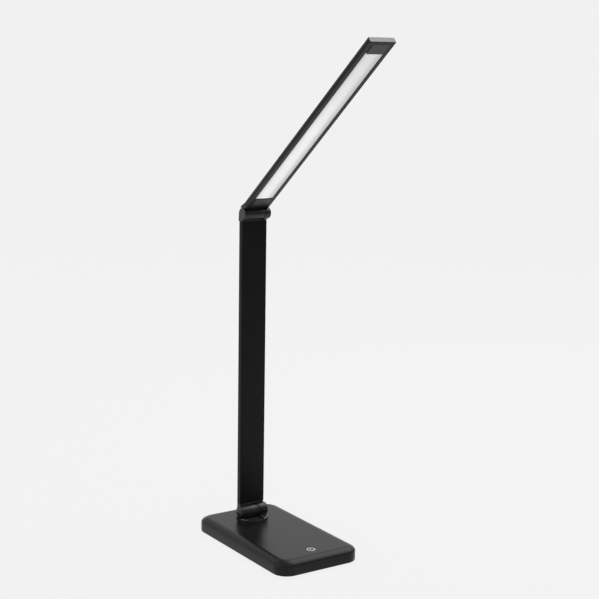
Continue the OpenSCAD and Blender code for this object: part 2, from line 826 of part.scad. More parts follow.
// Screw places on the back of the head at height z in its own frame
module at_head_screws(z) {
    for (x = [-head_screw_x, head_screw_x]) translate([x, head_y1, z]) rotate([-90, 0, 0]) children();
}

module back_cover() {
    x = head_w / 2;
    color(arm_grey) at_head() difference() {
        head_bar(body_z0, body_z1, shell_y, head_y1, x, head_corner);
        translate([shell_t - x, shell_y - 1, body_z0 - 1])
            cube([2 * (x - shell_t), head_y1 - shell_t - shell_y + 1, body_z1 - body_z0 + 2]);
        for (z = [body_z0 + head_screw_in, body_z1 - head_screw_in]) at_head_screws(z)
            sunk_hole(small_screw_r, shell_t + 1, small_head_r, small_head_h, snug);
    }
}

module light_frame() {
    x = head_w / 2;
    skirt_h = head_y1 - shell_t - panel_y - 0.3;
    color(hinge_grey) at_head() {
        difference() {
            translate([-x, head_y0, body_z0]) cube([2 * x, flange_t, body_z1 - body_z0]);
            translate([-window_w / 2, head_y0 - 1, window_z0])
                cube([window_w, flange_t + 2, window_z1 - window_z0]);
        }
        for (px = [-skirt_x, skirt_x - skirt_t]) translate([px, panel_y - eps, body_z0])
            cube([skirt_t, skirt_h, body_z1 - body_z0]);
    }
}

// Flat strip behind the frame between two heights in the head's frame
module panel(z0, z1, y, t) {
    translate([-panel_x, y, z0]) cube([2 * panel_x, t, z1 - z0]);
}

module diffuser() {
    color([0.97, 0.97, 0.95]) at_head() panel(lit_z0, lit_z1, panel_y, panel_t);
}

module light_guide() {
    y = panel_y + panel_t;
    color([0.9, 0.93, 0.95]) at_head() panel(lit_z0, lit_z1, y, board_y - chip_t - fit - y);
}

module led_board() {
    color("white") at_head() panel(lit_z0, lit_z1, board_y, led_board_t);
}

module led_chips() {
    count = floor((lit_z1 - lit_z0 - 10) / chip_step);
    start = (lit_z0 + lit_z1 - (count - 1) * chip_step) / 2;
    color([0.95, 0.85, 0.5]) at_head() for (i = [0:count - 1])
        translate([-1.5, board_y - chip_t, start + i * chip_step - 1.4]) cube([3, chip_t, 2.8]);
}

module lower_end_plate() {
    color(hinge_grey * 0.9) at_head() panel(body_z0 + fit, lit_z0 - fit, panel_y, panel_t);
}

module tip_end_plate() {
    color(hinge_grey * 0.9) at_head() panel(lit_z1 + fit, body_z1 - fit, panel_y, panel_t);
}

module tip_cap() {
    color([0.6, 0.6, 0.61]) at_head() difference() {
        union() {
            head_bar(body_z1, head_l, head_y0, head_y1, head_w / 2, head_corner);
            translate([-panel_x, tongue_y0, body_z1 - tongue_l])
                cube([2 * panel_x, tongue_y1 - tongue_y0, tongue_l + eps]);
        }
        at_head_screws(body_z1 - head_screw_in)
            sunk_hole(small_screw_r, head_t * 0.6, small_head_r, small_head_h, snug);
    }
}

module head_wires() {
    color("white") at_head() for (side = [-1, 1])
        translate([passage_x + side * wire_step, (tongue_y0 + tongue_y1) / 2, up_r - 1])
            cylinder(r = wire_d / 2, h = lit_z0 - up_r + 1 - fit);
}

module head_screws() {
    color(steel_grey) at_head() for (z = [body_z0 + head_screw_in, body_z1 - head_screw_in]) at_head_screws(z)
        sunk_screw(small_screw_r, head_t * 0.5, small_head_r, small_head_h);
}

base_cover();
base_tray();
ballast_plate();
non_slip_pad();
tray_screws();
control_board();
board_parts();
board_screws();
touch_pad();
touch_wire();
touch_symbol();
power_socket();
socket_pin();
base_wire();
glide_ring();
friction_washer();
turntable();
spring_washer();
swivel_nut();
lower_hinge_pin();
lower_pin_nut();
lug_cap();
lower_fitting();
hinge_collar();
barrel_cap();
arm_tube();
arm_wires();
arm_screws();
upper_fitting();
upper_hinge_pin();
upper_pin_nut();
upper_cap();
upper_washers();
head_knuckle();
back_cover();
light_frame();
diffuser();
light_guide();
led_board();
led_chips();
lower_end_plate();
tip_end_plate();
tip_cap();
head_wires();
head_screws();
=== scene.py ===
"""Folding desk lamp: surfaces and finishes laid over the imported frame. Lengths are in metres."""

import json
import math

import bmesh
import bpy
import numpy as np
from mathutils import Matrix, Vector


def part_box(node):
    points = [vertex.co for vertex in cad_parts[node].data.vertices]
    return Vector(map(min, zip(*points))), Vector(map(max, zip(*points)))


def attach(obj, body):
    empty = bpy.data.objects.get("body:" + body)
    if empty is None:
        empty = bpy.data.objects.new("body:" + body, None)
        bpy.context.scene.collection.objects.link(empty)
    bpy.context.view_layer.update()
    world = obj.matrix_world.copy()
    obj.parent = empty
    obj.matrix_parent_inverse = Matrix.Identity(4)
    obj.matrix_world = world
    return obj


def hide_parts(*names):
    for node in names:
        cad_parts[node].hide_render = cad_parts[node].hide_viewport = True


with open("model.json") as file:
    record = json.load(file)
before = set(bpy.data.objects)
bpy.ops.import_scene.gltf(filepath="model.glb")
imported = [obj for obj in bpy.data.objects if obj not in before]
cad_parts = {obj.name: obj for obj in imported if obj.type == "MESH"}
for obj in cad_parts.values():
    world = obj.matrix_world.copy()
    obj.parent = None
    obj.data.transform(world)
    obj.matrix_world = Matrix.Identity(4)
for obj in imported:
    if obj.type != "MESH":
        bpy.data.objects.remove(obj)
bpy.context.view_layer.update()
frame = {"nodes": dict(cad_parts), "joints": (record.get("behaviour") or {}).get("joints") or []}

MM = 0.001
NODES = frame["nodes"]
JOINTS = {joint["name"]: joint for joint in frame["joints"]}

# Places read from the frame
HINGE_LOW = JOINTS["arm_fold"]["pos_m"][2]
HINGE_HIGH = JOINTS["head_tilt"]["pos_m"][2]
LEAN = math.radians(-JOINTS["head_tilt"]["range_deg"][0])
COVER_LOW, COVER_HIGH = (np.array(v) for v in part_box("base_cover"))
DISC_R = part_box("turntable")[1][0]
TUBE_LOW, TUBE_HIGH = (np.array(v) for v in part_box("arm_tube"))
SYMBOL_LOW, SYMBOL_HIGH = (np.array(v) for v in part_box("touch_symbol"))
SOCKET_LOW, SOCKET_HIGH = (np.array(v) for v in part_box("power_socket"))

# Corners closer than the first are merged, and edges shorter than the second go
SAME_POINT, NO_LENGTH = 2e-6, 1e-7
# Faces flatter to each other than the first become one, and edges sharper than the second are rounded
NEARLY_FLAT, SHARP = math.radians(0.6), math.radians(32)


# Surfaces

def unit(vectors):
    """Each vector divided by its own length."""
    return vectors / np.linalg.norm(vectors, axis=-1, keepdims=True)


def rounded_outline(x0, x1, y0, y1, radius, steps=8, runs=1):
    """Closed outline, anticlockwise, with its outward directions: a quarter circle about each
    corner's centre, and straight runs cut into equal parts between them."""
    signs = np.array([(1, 1), (-1, 1), (-1, -1), (1, -1)], float)[:, None]
    corners = np.array([(x1, y1), (x0, y1), (x0, y0), (x1, y0)], float)[:, None]
    turn = np.linspace(0, math.pi / 2, steps + 1) + np.arange(4)[:, None] * math.pi / 2
    away = np.stack([np.cos(turn), np.sin(turn)], -1)
    arcs = corners - radius * signs + radius * away
    share = (np.arange(1, runs) / runs)[None, :, None]
    straight = arcs[:, -1:] * (1 - share) + np.roll(arcs[:, :1], -1, 0) * share
    straight_away = np.repeat(away[:, -1:], runs - 1, 1)
    points = np.concatenate([arcs, straight], 1).reshape(-1, 2)
    return points, np.concatenate([away, straight_away], 1).reshape(-1, 2)


def filleted_outline(corners, radii, steps=6):
    """Closed outline through anticlockwise corners, with its outward directions: each corner is an
    arc tangent to its two sides, its centre on the bisector at radius over sine of half the angle."""
    corner = np.array(corners, float)
    radius = np.broadcast_to(np.array(radii, float), len(corner))[:, None]
    back, on = unit(np.roll(corner, 1, 0) - corner), unit(np.roll(corner, -1, 0) - corner)
    half = np.arccos((back * on).sum(1, keepdims=True)) / 2
    centre = corner + unit(back + on) * radius / np.sin(half)
    first = (corner + back * radius / np.tan(half) - centre) / radius
    last = (corner + on * radius / np.tan(half) - centre) / radius
    swing = (math.pi - 2 * half)[:, None]
    share = np.linspace(0, 1, steps + 1)[None, :, None]
    spoke = np.sin((1 - share) * swing) * first[:, None] + np.sin(share * swing) * last[:, None]
    spoke /= np.sin(swing)
    outward = np.sign(back[:, 1] * on[:, 0] - back[:, 0] * on[:, 1])[:, None, None]
    points = centre[:, None] + radius[:, None] * spoke
    return points.reshape(-1, 2), (spoke * outward).reshape(-1, 2)


def belt_outline(circles, steps=24):
    """Closed outline drawn tight round circles (across, up, radius) given anticlockwise, with its
    outward directions: the straight runs are common tangents, whose direction away from both circles
    makes with the line of centres an angle with cosine (first radius - second radius) / distance."""
    circle = np.array(circles, float)
    onward = np.roll(circle, -1, 0) - circle
    distance = np.hypot(onward[:, 0], onward[:, 1])
    leave = np.arctan2(onward[:, 1], onward[:, 0]) - np.arccos(np.clip(-onward[:, 2] / distance, -1, 1))
    enter = np.roll(leave, 1)
    a = enter[:, None] + ((leave - enter) % (2 * math.pi))[:, None] * np.linspace(0, 1, steps + 1)
    away = np.stack([np.cos(a), np.sin(a)], -1)
    return (circle[:, None, :2] + circle[:, None, 2:] * away).reshape(-1, 2), away.reshape(-1, 2)


def traced_outline(points):
    """Closed outline through many points, anticlockwise: its outward direction at a point is square
    to the line between the two neighbours."""
    points = np.array(points, float)
    along = unit(np.roll(points, -1, 0) - np.roll(points, 1, 0))
    return points, np.stack([along[:, 1], -along[:, 0]], -1)


def quarter(radius, steps=4):
    """Quarter circle of an eased edge, as how far it is drawn in and how far it has risen."""
    a = np.linspace(0, math.pi / 2, steps + 1)
    return radius * (1 - np.sin(a)), radius * (1 - np.cos(a))


def soft_rows(low, high, edge):
    """Rows of a prism as (drawn in, height): a quarter circle at each end, and a line that keeps the
    middle of each end flat."""
    draw, rise = quarter(edge)
    flat = 1.6 * edge
    first, last = np.column_stack([draw, low + rise]), np.column_stack([draw, high - rise])[::-1]
    return np.vstack([[(flat, low)], first, last, [(flat, high)]])


def prism(outline, rows):
    """Grid of a prism: row by row the outline draws in along its outward directions and rises."""
    points, away = outline
    rows = np.array(rows, float)
    flat = points[None] - rows[:, :1, None] * away[None]
    return np.concatenate([flat, np.broadcast_to(rows[:, 1:, None], flat.shape[:2] + (1,))], -1)


def turned(profile, steps=96):
    """Grid of a turned shape about the third axis: a profile point (radius, height) goes round it."""
    radius, height = np.array(profile, float).T
    a = np.linspace(0, 2 * math.pi, steps, endpoint=False)
    return np.stack([radius[:, None] * np.cos(a), radius[:, None] * np.sin(a),
                     np.broadcast_to(height[:, None], (len(radius), steps))], -1)


def carried(path, sideways, section):
    """Grid of a section (across, up) carried along a flat path: a point lies across the path by the
    first value and above it by the second."""
    across, up = np.array(section, float).T
    flat = path[:, None] + sideways[:, None] * across[None, :, None]
    return np.concatenate([flat, np.broadcast_to(up[None, :, None], flat.shape[:2] + (1,))], -1)


def upright(grid):
    """As it is: the grid's third value is height."""
    return grid


def crosswise(at):
    """Places a grid whose third value runs along X, about the hinge axis at a height."""
    def place(grid):
        return np.stack([grid[..., 2], grid[..., 0], grid[..., 1] + at], -1)
    return place


def on_head(grid):
    """Places a grid given in the head's own frame (across, back, along): it leans forward about the
    upper hinge."""
    x, y, z = np.moveaxis(grid, -1, 0)
    return np.stack([x, y * math.cos(LEAN) - z * math.sin(LEAN),
                     y * math.sin(LEAN) + z * math.cos(LEAN) + HINGE_HIGH], -1)


def on_head_flat(grid):
    """Places a grid given on the lit face (across, along, back)."""
    return on_head(grid[..., [0, 2, 1]])


def new_mesh(name, grids, place=upright, looped=False):
    """Mesh of several grids whose rows are closed rings. A looped grid also joins its last row to its
    first. Rows that shrink to a point are merged, open ends are closed flat, faces point outwards."""
    corners, quads, count = [], [], 0
    for grid in grids:
        rows, ring = grid.shape[:2]
        i, j = np.meshgrid(np.arange(rows if looped else rows - 1), np.arange(ring), indexing="ij")
        above, beside = (i + 1) % rows, (j + 1) % ring
        quad = [i * ring + j, i * ring + beside, above * ring + beside, above * ring + j]
        quads.append(np.stack(quad, -1).reshape(-1, 4) + count)
        corners.append(place(grid).reshape(-1, 3))
        count += rows * ring
    return mesh_from(name, np.concatenate(corners), np.concatenate(quads))


def mesh_from(name, corners, faces):
    """Closed mesh of corners and equal faces, merged, closed and with its faces outwards."""
    mesh = bpy.data.meshes.new(name)
    mesh.vertices.add(len(corners))
    mesh.vertices.foreach_set("co", np.ascontiguousarray(corners, np.float32).ravel())
    mesh.loops.add(faces.size)
    mesh.loops.foreach_set("vertex_index", np.ascontiguousarray(faces, np.int32).ravel())
    mesh.polygons.add(len(faces))
    mesh.polygons.foreach_set("loop_start", np.arange(len(faces), dtype=np.int32) * faces.shape[1])
    mesh.update(calc_edges=True)
    shape = bmesh.new()
    shape.from_mesh(mesh)
    bmesh.ops.remove_doubles(shape, verts=shape.verts, dist=SAME_POINT)
    bmesh.ops.dissolve_degenerate(shape, edges=shape.edges, dist=NO_LENGTH)
    bmesh.ops.holes_fill(shape, edges=shape.edges, sides=0)
    bmesh.ops.recalc_face_normals(shape, faces=shape.faces)
    shape.to_mesh(mesh)
    shape.free()
    return mesh


def smooth(obj, angle):
    """Smooth shading that stays crisp at edges sharper than the angle."""
    obj.data.polygons.foreach_set("use_smooth", np.ones(len(obj.data.polygons), bool))
    obj.data.set_sharp_from_angle(angle=math.radians(angle))


def settle(obj):
    """The modifiers become part of the mesh."""
    bpy.context.view_layer.update()
    seen = obj.evaluated_get(bpy.context.evaluated_depsgraph_get())
    mesh = bpy.data.meshes.new_from_object(seen)
    obj.modifiers.clear()
    obj.data = mesh


def new_object(name, data):
    """A mesh, light or camera as an object of the scene."""
    obj = bpy.data.objects.new(name, data)
    bpy.context.scene.collection.objects.link(obj)
    return obj


def add_to(obj, *meshes):
    """Further closed shells in the same piece."""
    shape = bmesh.new()
    shape.from_mesh(obj.data)
    for mesh in meshes:
        shape.from_mesh(mesh)
    shape.to_mesh(obj.data)
    shape.free()
    return obj


def cut_out(obj, mesh):
    """The mesh's volume is taken out of the object."""
    cutter = new_object("cutter", mesh)
    taken = obj.modifiers.new("cut", "BOOLEAN")
    taken.operation, taken.solver, taken.object = "DIFFERENCE", "EXACT", cutter
    settle(obj)
    bpy.data.objects.remove(cutter)


def softened(node, width, segments=3):
    """A merged copy of a CAD node: flat faces in one piece, and its sharp edges rounded."""
    source = NODES[node].data
    corners = np.zeros(len(source.vertices) * 3, np.float32)
    source.vertices.foreach_get("co", corners)
    source.calc_loop_triangles()
    faces = np.zeros(len(source.loop_triangles) * 3, np.int32)
    source.loop_triangles.foreach_get("vertices", faces)
    name = node + "_soft"
    obj = new_object(name, mesh_from(name, corners.reshape(-1, 3), faces.reshape(-1, 3)))
    shape = bmesh.new()
    shape.from_mesh(obj.data)
    bmesh.ops.dissolve_limit(shape, angle_limit=NEARLY_FLAT, verts=shape.verts, edges=shape.edges)
    shape.to_mesh(obj.data)
    shape.free()
    edge = obj.modifiers.new("edge", "BEVEL")
    edge.width, edge.segments, edge.limit_method = width, segments, "ANGLE"
    edge.angle_limit = SHARP
    edge.miter_outer = "MITER_ARC"
    settle(obj)
    return obj


def finish_piece(obj, name, body, slot, nodes=(), angle=35, finish=None):
    """Name, shading, finish, body and the CAD nodes that a piece stands for."""
    obj.name = obj.data.name = name
    smooth(obj, angle)
    obj.data.materials.clear()
    obj.data.materials.append(finish or FINISHES[slot])
    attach(obj, body)
    if nodes:
        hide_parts(*nodes)


# Finishes

def node_in(tree, kind, links=(), **settings):
    """A new node of a tree; links are (input, socket or value)."""
    made = tree.nodes.new(kind)
    for key, value in settings.items():
        setattr(made, key, value)
    for key, value in links:
        if isinstance(value, bpy.types.NodeSocket):
            tree.links.new(value, made.inputs[key])
        else:
            made.inputs[key].default_value = value
    return made


class Finish:
    """A material whose patterns are laid out in metres on Object coordinates."""

    def __init__(self, name, gloss=0.5, metal=0.0):
        self.material = bpy.data.materials.new(name)
        self.material.use_nodes = True
        self.tree = self.material.node_tree
        self.shader = self.tree.nodes["Principled BSDF"]
        self.shader.inputs["Specular IOR Level"].default_value = gloss
        self.shader.inputs["Metallic"].default_value = metal
        self.place = self.tree.nodes.new("ShaderNodeTexCoord").outputs["Object"]

    def node(self, kind, links=(), **settings):
        """A new node of this material."""
        return node_in(self.tree, kind, links, **settings)

    def maths(self, operation, first, second=0.0):
        """One or two values put through an operation."""
        return self.node("ShaderNodeMath", [(0, first), (1, second)], operation=operation).outputs[0]

    def stretched(self, scale):
        """Object coordinates scaled by their own amount along each axis."""
        return self.node("ShaderNodeMapping", [("Vector", self.place), ("Scale", scale)]).outputs["Vector"]

    def noise(self, scale, detail=2.0, where=None):
        """Noise from 0 to 1, with scale features to the metre."""
        return self.node("ShaderNodeTexNoise", [("Vector", where or self.place), ("Scale", scale),
                                                ("Detail", detail)]).outputs["Fac"]

    def span(self, value, low, high, start=0.3, end=0.7):
        """The value's range from start to end, mapped to low and high."""
        return self.node("ShaderNodeMapRange", [("Value", value), ("From Min", start), ("From Max", end),
                                                ("To Min", low), ("To Max", high)]).outputs["Result"]

    def blend(self, share, first, second):
        """From the first colour to the second."""
        mix = self.node("ShaderNodeMix", [("Factor", share)], data_type="RGBA")
        for key, colour in ((6, first), (7, second)):
            if isinstance(colour, bpy.types.NodeSocket):
                self.tree.links.new(colour, mix.inputs[key])
            else:
                mix.inputs[key].default_value = (*colour, 1)
        return mix.outputs[2]

    def feed(self, key, socket):
        """The shader's input takes the socket's value."""
        self.tree.links.new(socket, self.shader.inputs[key])

    def clouds(self, scale, first, second, detail=2.0):
        """Base colour that drifts from the first colour to the second."""
        self.feed("Base Color", self.blend(self.span(self.noise(scale, detail), 0, 1), first, second))

    def roughness(self, pattern, least, most):
        """Roughness that wanders with a pattern."""
        self.feed("Roughness", self.span(pattern, least, most))

    def relief(self, height, depth):
        """Bump of that depth in metres, on top of any bump already there."""
        links = [("Height", height), ("Distance", depth), ("Strength", 1.0)]
        if self.shader.inputs["Normal"].is_linked:
            links.append(("Normal", self.shader.inputs["Normal"].links[0].from_socket))
        self.feed("Normal", self.node("ShaderNodeBump", links).outputs["Normal"])


def grey(value, warmth=0.0):
    """A grey whose red is raised and blue lowered by the warmth."""
    return (value * (1 + warmth), value, value * (1 - warmth))


def times(colour, factor):
    """The colour made lighter or darker."""
    return tuple(min(1.0, part * factor) for part in colour)


def moulded(name, colour, rough, gloss=0.5, grain=2600.0, depth=0.012 * MM):
    """Moulded plastic: fine grain, a faint cloud in its tone, and gloss that wanders a little."""
    f = Finish(name, gloss)
    f.clouds(38, times(colour, 0.9), times(colour, 1.12), detail=3)
    f.roughness(f.noise(300), rough - 0.02, rough + 0.02)
    f.relief(f.noise(grain), depth)
    return f.material


def drawn(name, colour, rough, gloss):
    """Anodised extrusion: hairlines along its length and a slow drift in tone."""
    f = Finish(name, gloss)
    hair = f.noise(1, where=f.stretched((5200, 5200, 90)))
    f.clouds(22, times(colour, 0.88), times(colour, 1.14))
    f.roughness(hair, rough - 0.05, rough + 0.05)
    f.relief(hair, 0.004 * MM)
    f.relief(f.noise(1900), 0.006 * MM)
    return f.material


def cast(name, colour, rough, gloss):
    """Satin paint on a casting: a soft orange-peel over a fine grain."""
    f = Finish(name, gloss)
    f.clouds(60, times(colour, 0.85), times(colour, 1.2), detail=3)
    f.roughness(f.noise(420), rough - 0.05, rough + 0.05)
    f.relief(f.noise(700), 0.012 * MM)
    f.relief(f.noise(3200), 0.006 * MM)
    return f.material


def bright(name, colour, rough, scale=(900, 900, 4200), stain=0.8):
    """Bare metal: turning marks along its scale and a faint stain."""
    f = Finish(name, metal=1.0)
    marks = f.noise(1, detail=3, where=f.stretched(scale))
    f.clouds(160, times(colour, stain), colour, detail=4)
    f.roughness(marks, rough - 0.08, rough + 0.08)
    f.relief(marks, 0.006 * MM)
    return f.material


def rubber(name, colour):
    """Soft pad: a knurl of small cells on matt rubber."""
    f = Finish(name, 0.3)
    cells = f.node("ShaderNodeTexVoronoi", [("Vector", f.place), ("Scale", 620.0), ("Randomness", 0.15)],
                   feature="DISTANCE_TO_EDGE").outputs["Distance"]
    f.clouds(90, times(colour, 0.8), times(colour, 1.3), detail=3)
    f.roughness(f.noise(500), 0.72, 0.86)
    f.relief(f.span(cells, 0, 1, 0.0, 0.25), 0.12 * MM)
    return f.material


def board(name, colour, track):
    """Printed board: lacquer over straight tracks in two directions."""
    f = Finish(name)
    lines = f.node("ShaderNodeTexBrick", [("Vector", f.place), ("Scale", 260.0), ("Mortar Size", 0.09),
                                          ("Color1", (0, 0, 0, 1)), ("Color2", (0.35, 0.35, 0.35, 1)),
                                          ("Mortar", (1, 1, 1, 1))]).outputs["Color"]
    f.feed("Base Color", f.blend(lines, colour, track))
    f.roughness(f.noise(240), 0.28, 0.4)
    f.relief(lines, 0.02 * MM)
    return f.material


def sleeve(name, colour):
    """Wire sleeve: smooth vinyl with a slight ripple."""
    f = Finish(name)
    f.clouds(120, times(colour, 0.86), colour)
    f.roughness(f.noise(700), 0.32, 0.46)
    f.relief(f.noise(900), 0.02 * MM)
    return f.material


def clear_guide(name):
    """Clear acrylic with rows of fine dots that let the light out."""
    f = Finish(name)
    dots = f.node("ShaderNodeTexVoronoi", [("Vector", f.place), ("Scale", 900.0), ("Randomness", 0.0)]
                  ).outputs["Distance"]
    inside, outside = 0.25, 0.35
    on_dot = f.span(dots, 1, 0, inside, outside)
    f.feed("Base Color", f.blend(on_dot, (0.86, 0.9, 0.92), (0.97, 0.97, 0.97)))
    f.feed("Roughness", f.span(dots, 0.5, 0.06, inside, outside))
    f.shader.inputs["Transmission Weight"].default_value = 0.9
    f.shader.inputs["IOR"].default_value = 1.49
    return f.material


def lit_panel(name, middle, edge, half_width, drift):
    """Diffuser: milky sheet glowing with the lamp's own light, brightest along its middle and dimmer
    towards its tip. Its dimming towards its long edges, and the bright middle's drift to one side, are
    painted shade laid into the glow. The drift is how far the bright middle lies to one side."""
    f = Finish(name, 0.3)
    x, _, z = f.node("ShaderNodeSeparateXYZ", [("Vector", f.place)]).outputs
    # Painted shade: the glow is shifted to one side by the drift and dims towards the long edges, standing
    # in for the frame's shade on the sheet
    far = f.maths("ABSOLUTE", f.maths("SUBTRACT", x, drift))
    glow = f.node("ShaderNodeMapRange", [("Value", far), ("From Min", 0.25 * half_width),
                                         ("From Max", half_width), ("To Min", middle), ("To Max", edge)],
                  interpolation_type="SMOOTHSTEP").outputs["Result"]
    fall_from, fall_to, at_tip = HINGE_HIGH + 0.09, HINGE_HIGH + 0.17, 0.62
    tipward = f.span(z, 1.0, at_tip, fall_from, fall_to)
    cloud = f.maths("MULTIPLY", f.span(f.noise(140, 3), 0.985, 1.0), tipward)
    f.clouds(60, (0.5, 0.5, 0.505), (0.54, 0.54, 0.54))
    f.roughness(f.noise(400), 0.42, 0.5)
    # Emission carries the lamp's own light, with painted shade at its long edges
    f.feed("Emission Strength", f.maths("MULTIPLY", glow, cloud))
    f.shader.inputs["Emission Color"].default_value = (1.0, 0.995, 1.0, 1)
    f.relief(f.noise(1500), 0.01 * MM)
    return f.material


FINISHES = {
    "base_shell": moulded("satin_base_plastic", grey(0.006, 0.03), 0.3, 0.2),
    "tray_plastic": moulded("tray_plastic", grey(0.02), 0.55, 0.4, 1800.0, 0.02 * MM),
    "pad_rubber": rubber("pad_rubber", grey(0.018)),
    "ballast_steel": bright("ballast_steel", (0.42, 0.42, 0.43), 0.5, (1400, 1400, 1400), 0.55),
    "screw_steel": bright("black_screw_steel", (0.05, 0.05, 0.052), 0.36, (2600, 2600, 2600)),
    "board_green": board("board_green", (0.01, 0.09, 0.04), (0.03, 0.2, 0.09)),
    "part_black": moulded("component_black", grey(0.015), 0.45, 0.5, 3600.0),
    "copper": bright("copper_disc", (0.86, 0.42, 0.27), 0.32, (2400, 2400, 2400), 0.7),
    "wire_white": sleeve("wire_sleeve", (0.8, 0.8, 0.79)),
    "symbol_white": moulded("printed_white", (0.8, 0.8, 0.8), 0.5, 0.4, 5200.0, 0.004 * MM),
    "socket_black": moulded("socket_black", grey(0.012), 0.38, 0.5, 3000.0),
    "contact_brass": bright("contact_brass", (0.8, 0.6, 0.28), 0.3),
    "glide_plastic": moulded("glide_plastic", (0.75, 0.73, 0.66), 0.4, 0.5, 2000.0),
    "friction_brass": bright("friction_brass", (0.72, 0.55, 0.3), 0.42, (3000, 3000, 600), 0.7),
    "hinge_metal": cast("hinge_satin_paint", grey(0.004), 0.36, 0.5),
    "collar_metal": cast("collar_satin_paint", grey(0.011), 0.4, 0.4),
    "hinge_steel": bright("hinge_steel", (0.5, 0.5, 0.51), 0.34),
    "arm_metal": drawn("arm_black_anodised", grey(0.007, 0.02), 0.4, 0.1),
    "washer_black": moulded("washer_black", grey(0.01), 0.5, 0.4),
    "head_metal": drawn("head_black_anodised", grey(0.005, 0.02), 0.4, 0.3),
    "frame_metal": drawn("frame_black_anodised", grey(0.0065), 0.38, 0.23),
    # Glowing diffuser with painted shade along its long edges and to one side
    "diffuser_white": lit_panel("lit_diffuser", 0.42, 0.15, 10.5 * MM, -1.5 * MM),
    "guide_clear": clear_guide("guide_clear"),
    "led_board_white": board("led_board_white", (0.75, 0.75, 0.74), (0.55, 0.5, 0.36)),
    "led_yellow": moulded("led_phosphor", (0.85, 0.68, 0.22), 0.35, 0.5, 4200.0),
    "plate_grey": moulded("plate_satin_grey", grey(0.03), 0.42, 0.32, 3000.0, 0.008 * MM),
    "tip_grey": drawn("tip_brushed_grey", grey(0.28), 0.4, 0.4),
}

for solid in NODES.values():
    slot = solid.data.materials[0].name
    solid.data.materials.clear()
    solid.data.materials.append(FINISHES[slot])


# Base

def socket_hole(wall):
    """Turned cutter for the power socket through the back wall, with a chamfer at the outer face."""
    radius, flare, beyond = (SOCKET_HIGH[2] - SOCKET_LOW[2]) / 2 + 0.1 * MM, 0.3 * MM, 1 * MM
    middle, back = (SOCKET_HIGH[2] + SOCKET_LOW[2]) / 2, COVER_HIGH[1]
    profile = [(0, -beyond), (radius, -beyond), (radius, wall - flare), (radius + flare, wall),
               (radius + flare, wall + beyond), (0, wall + beyond)]
    return new_mesh("hole", [turned(profile, 48)], lambda g: np.stack(
        [g[..., 0], g[..., 2] + back - wall, g[..., 1] + middle], -1))


def base_cover():
    """Cover as one closed surface. Rows follow the outline drawn in by their first value (lip, wall,
    edge where both run as powers of cosine and sine), then circles of the disc's pocket and bore."""
    corner, edge_in, wall_top, wall = 16.4 * MM, 9.5 * MM, COVER_LOW[2] + 10.2 * MM, 2.2 * MM
    in_power, up_power = 1.06, 1.43
    low, top = COVER_LOW[2], COVER_HIGH[2]
    outline = rounded_outline(COVER_LOW[0], COVER_HIGH[0], COVER_LOW[1], COVER_HIGH[1],
                              corner, steps=16, runs=36)
    lip_draw, lip_rise = quarter(0.6 * MM, 6)
    b = np.linspace(0, math.pi / 2, 29)
    edge = np.column_stack([edge_in * (1 - np.cos(b) ** in_power),
                            wall_top + (top - wall_top) * np.sin(b) ** up_power])
    rim = np.vstack([[(wall, low)], np.column_stack([lip_draw, low + lip_rise]), edge,
                     [(edge_in + 0.5 * MM, top)]])
    inside = np.array([(edge_in + 0.8 * MM, top - wall), (wall, wall_top - 1.4 * MM)])
    pocket, bore, boss = DISC_R + 0.3 * MM, 9.05 * MM, DISC_R + 1.6 * MM
    floor, under = top - 0.9 * MM, top - wall - 3 * MM
    soft = 0.25 * MM
    soft_draw, soft_fall = quarter(soft, 6)
    rings = np.vstack([
        [(pocket + 2 * soft, top)], np.column_stack([pocket + soft_draw, top - soft_fall]),
        [(pocket, floor), (bore, floor), (bore, under), (boss, under), (boss, top - wall)]])
    spoke = unit(outline[0])
    circles = np.concatenate([rings[:, :1, None] * spoke[None],
                              np.broadcast_to(rings[:, 1:, None], (len(rings), len(spoke), 1))], -1)
    shell = np.concatenate([prism(outline, rim), circles, prism(outline, inside)])
    obj = new_object("base", new_mesh("base", [shell], looped=True))
    cut_out(obj, socket_hole(wall))
    finish_piece(obj, "base_shell", "base", "base_shell", ["base_cover"], 40)


def touch_symbol():
    """Printed power sign: a ring with a gap and an upright tick, a low domed section carried along
    an arc and along a line."""
    middle, width = (SYMBOL_LOW + SYMBOL_HIGH) / 2, SYMBOL_HIGH[0] - SYMBOL_LOW[0]
    line, gap = 0.11 * width, 0.33
    ring = width / 2 - line / 2
    dome, proud, sunk = 0.05 * MM, 0.01 * MM, 0.1 * MM
    u = np.linspace(-1, 1, 9)
    section = np.vstack([np.column_stack([u, dome * (1 - u ** 4) + proud]) * [line / 2, 1],
                         [(line / 2, -sunk), (-line / 2, -sunk)]]) + [0, COVER_HIGH[2]]
    a = np.linspace(math.pi / 2 + gap, math.pi * 2.5 - gap, 65)
    spoke = np.stack([np.cos(a), np.sin(a)], -1)
    arc = carried(middle[:2] + ring * spoke, spoke, section)
    foot, head, steps = -0.05, 0.55, 9
    t = np.linspace(foot, head, steps)[:, None] * width
    tick = carried(middle[:2] + t * [0, 1], np.repeat([[1.0, 0.0]], steps, 0), section)
    obj = new_object("symbol", new_mesh("symbol", [arc, tick]))
    finish_piece(obj, "power_symbol", "base", "symbol_white", ["touch_symbol"], 60)


base_cover()
touch_symbol()
for cad_node, width, piece, slot in (("power_socket", 0.15 * MM, "socket_ring", "socket_black"),
                                     ("base_tray", 0.25 * MM, "base_floor", "tray_plastic"),
                                     ("non_slip_pad", 0.2 * MM, "foot_pad", "pad_rubber")):
    finish_piece(softened(cad_node, width, 2), piece, "base", slot, [cad_node])

# Lower hinge and arm

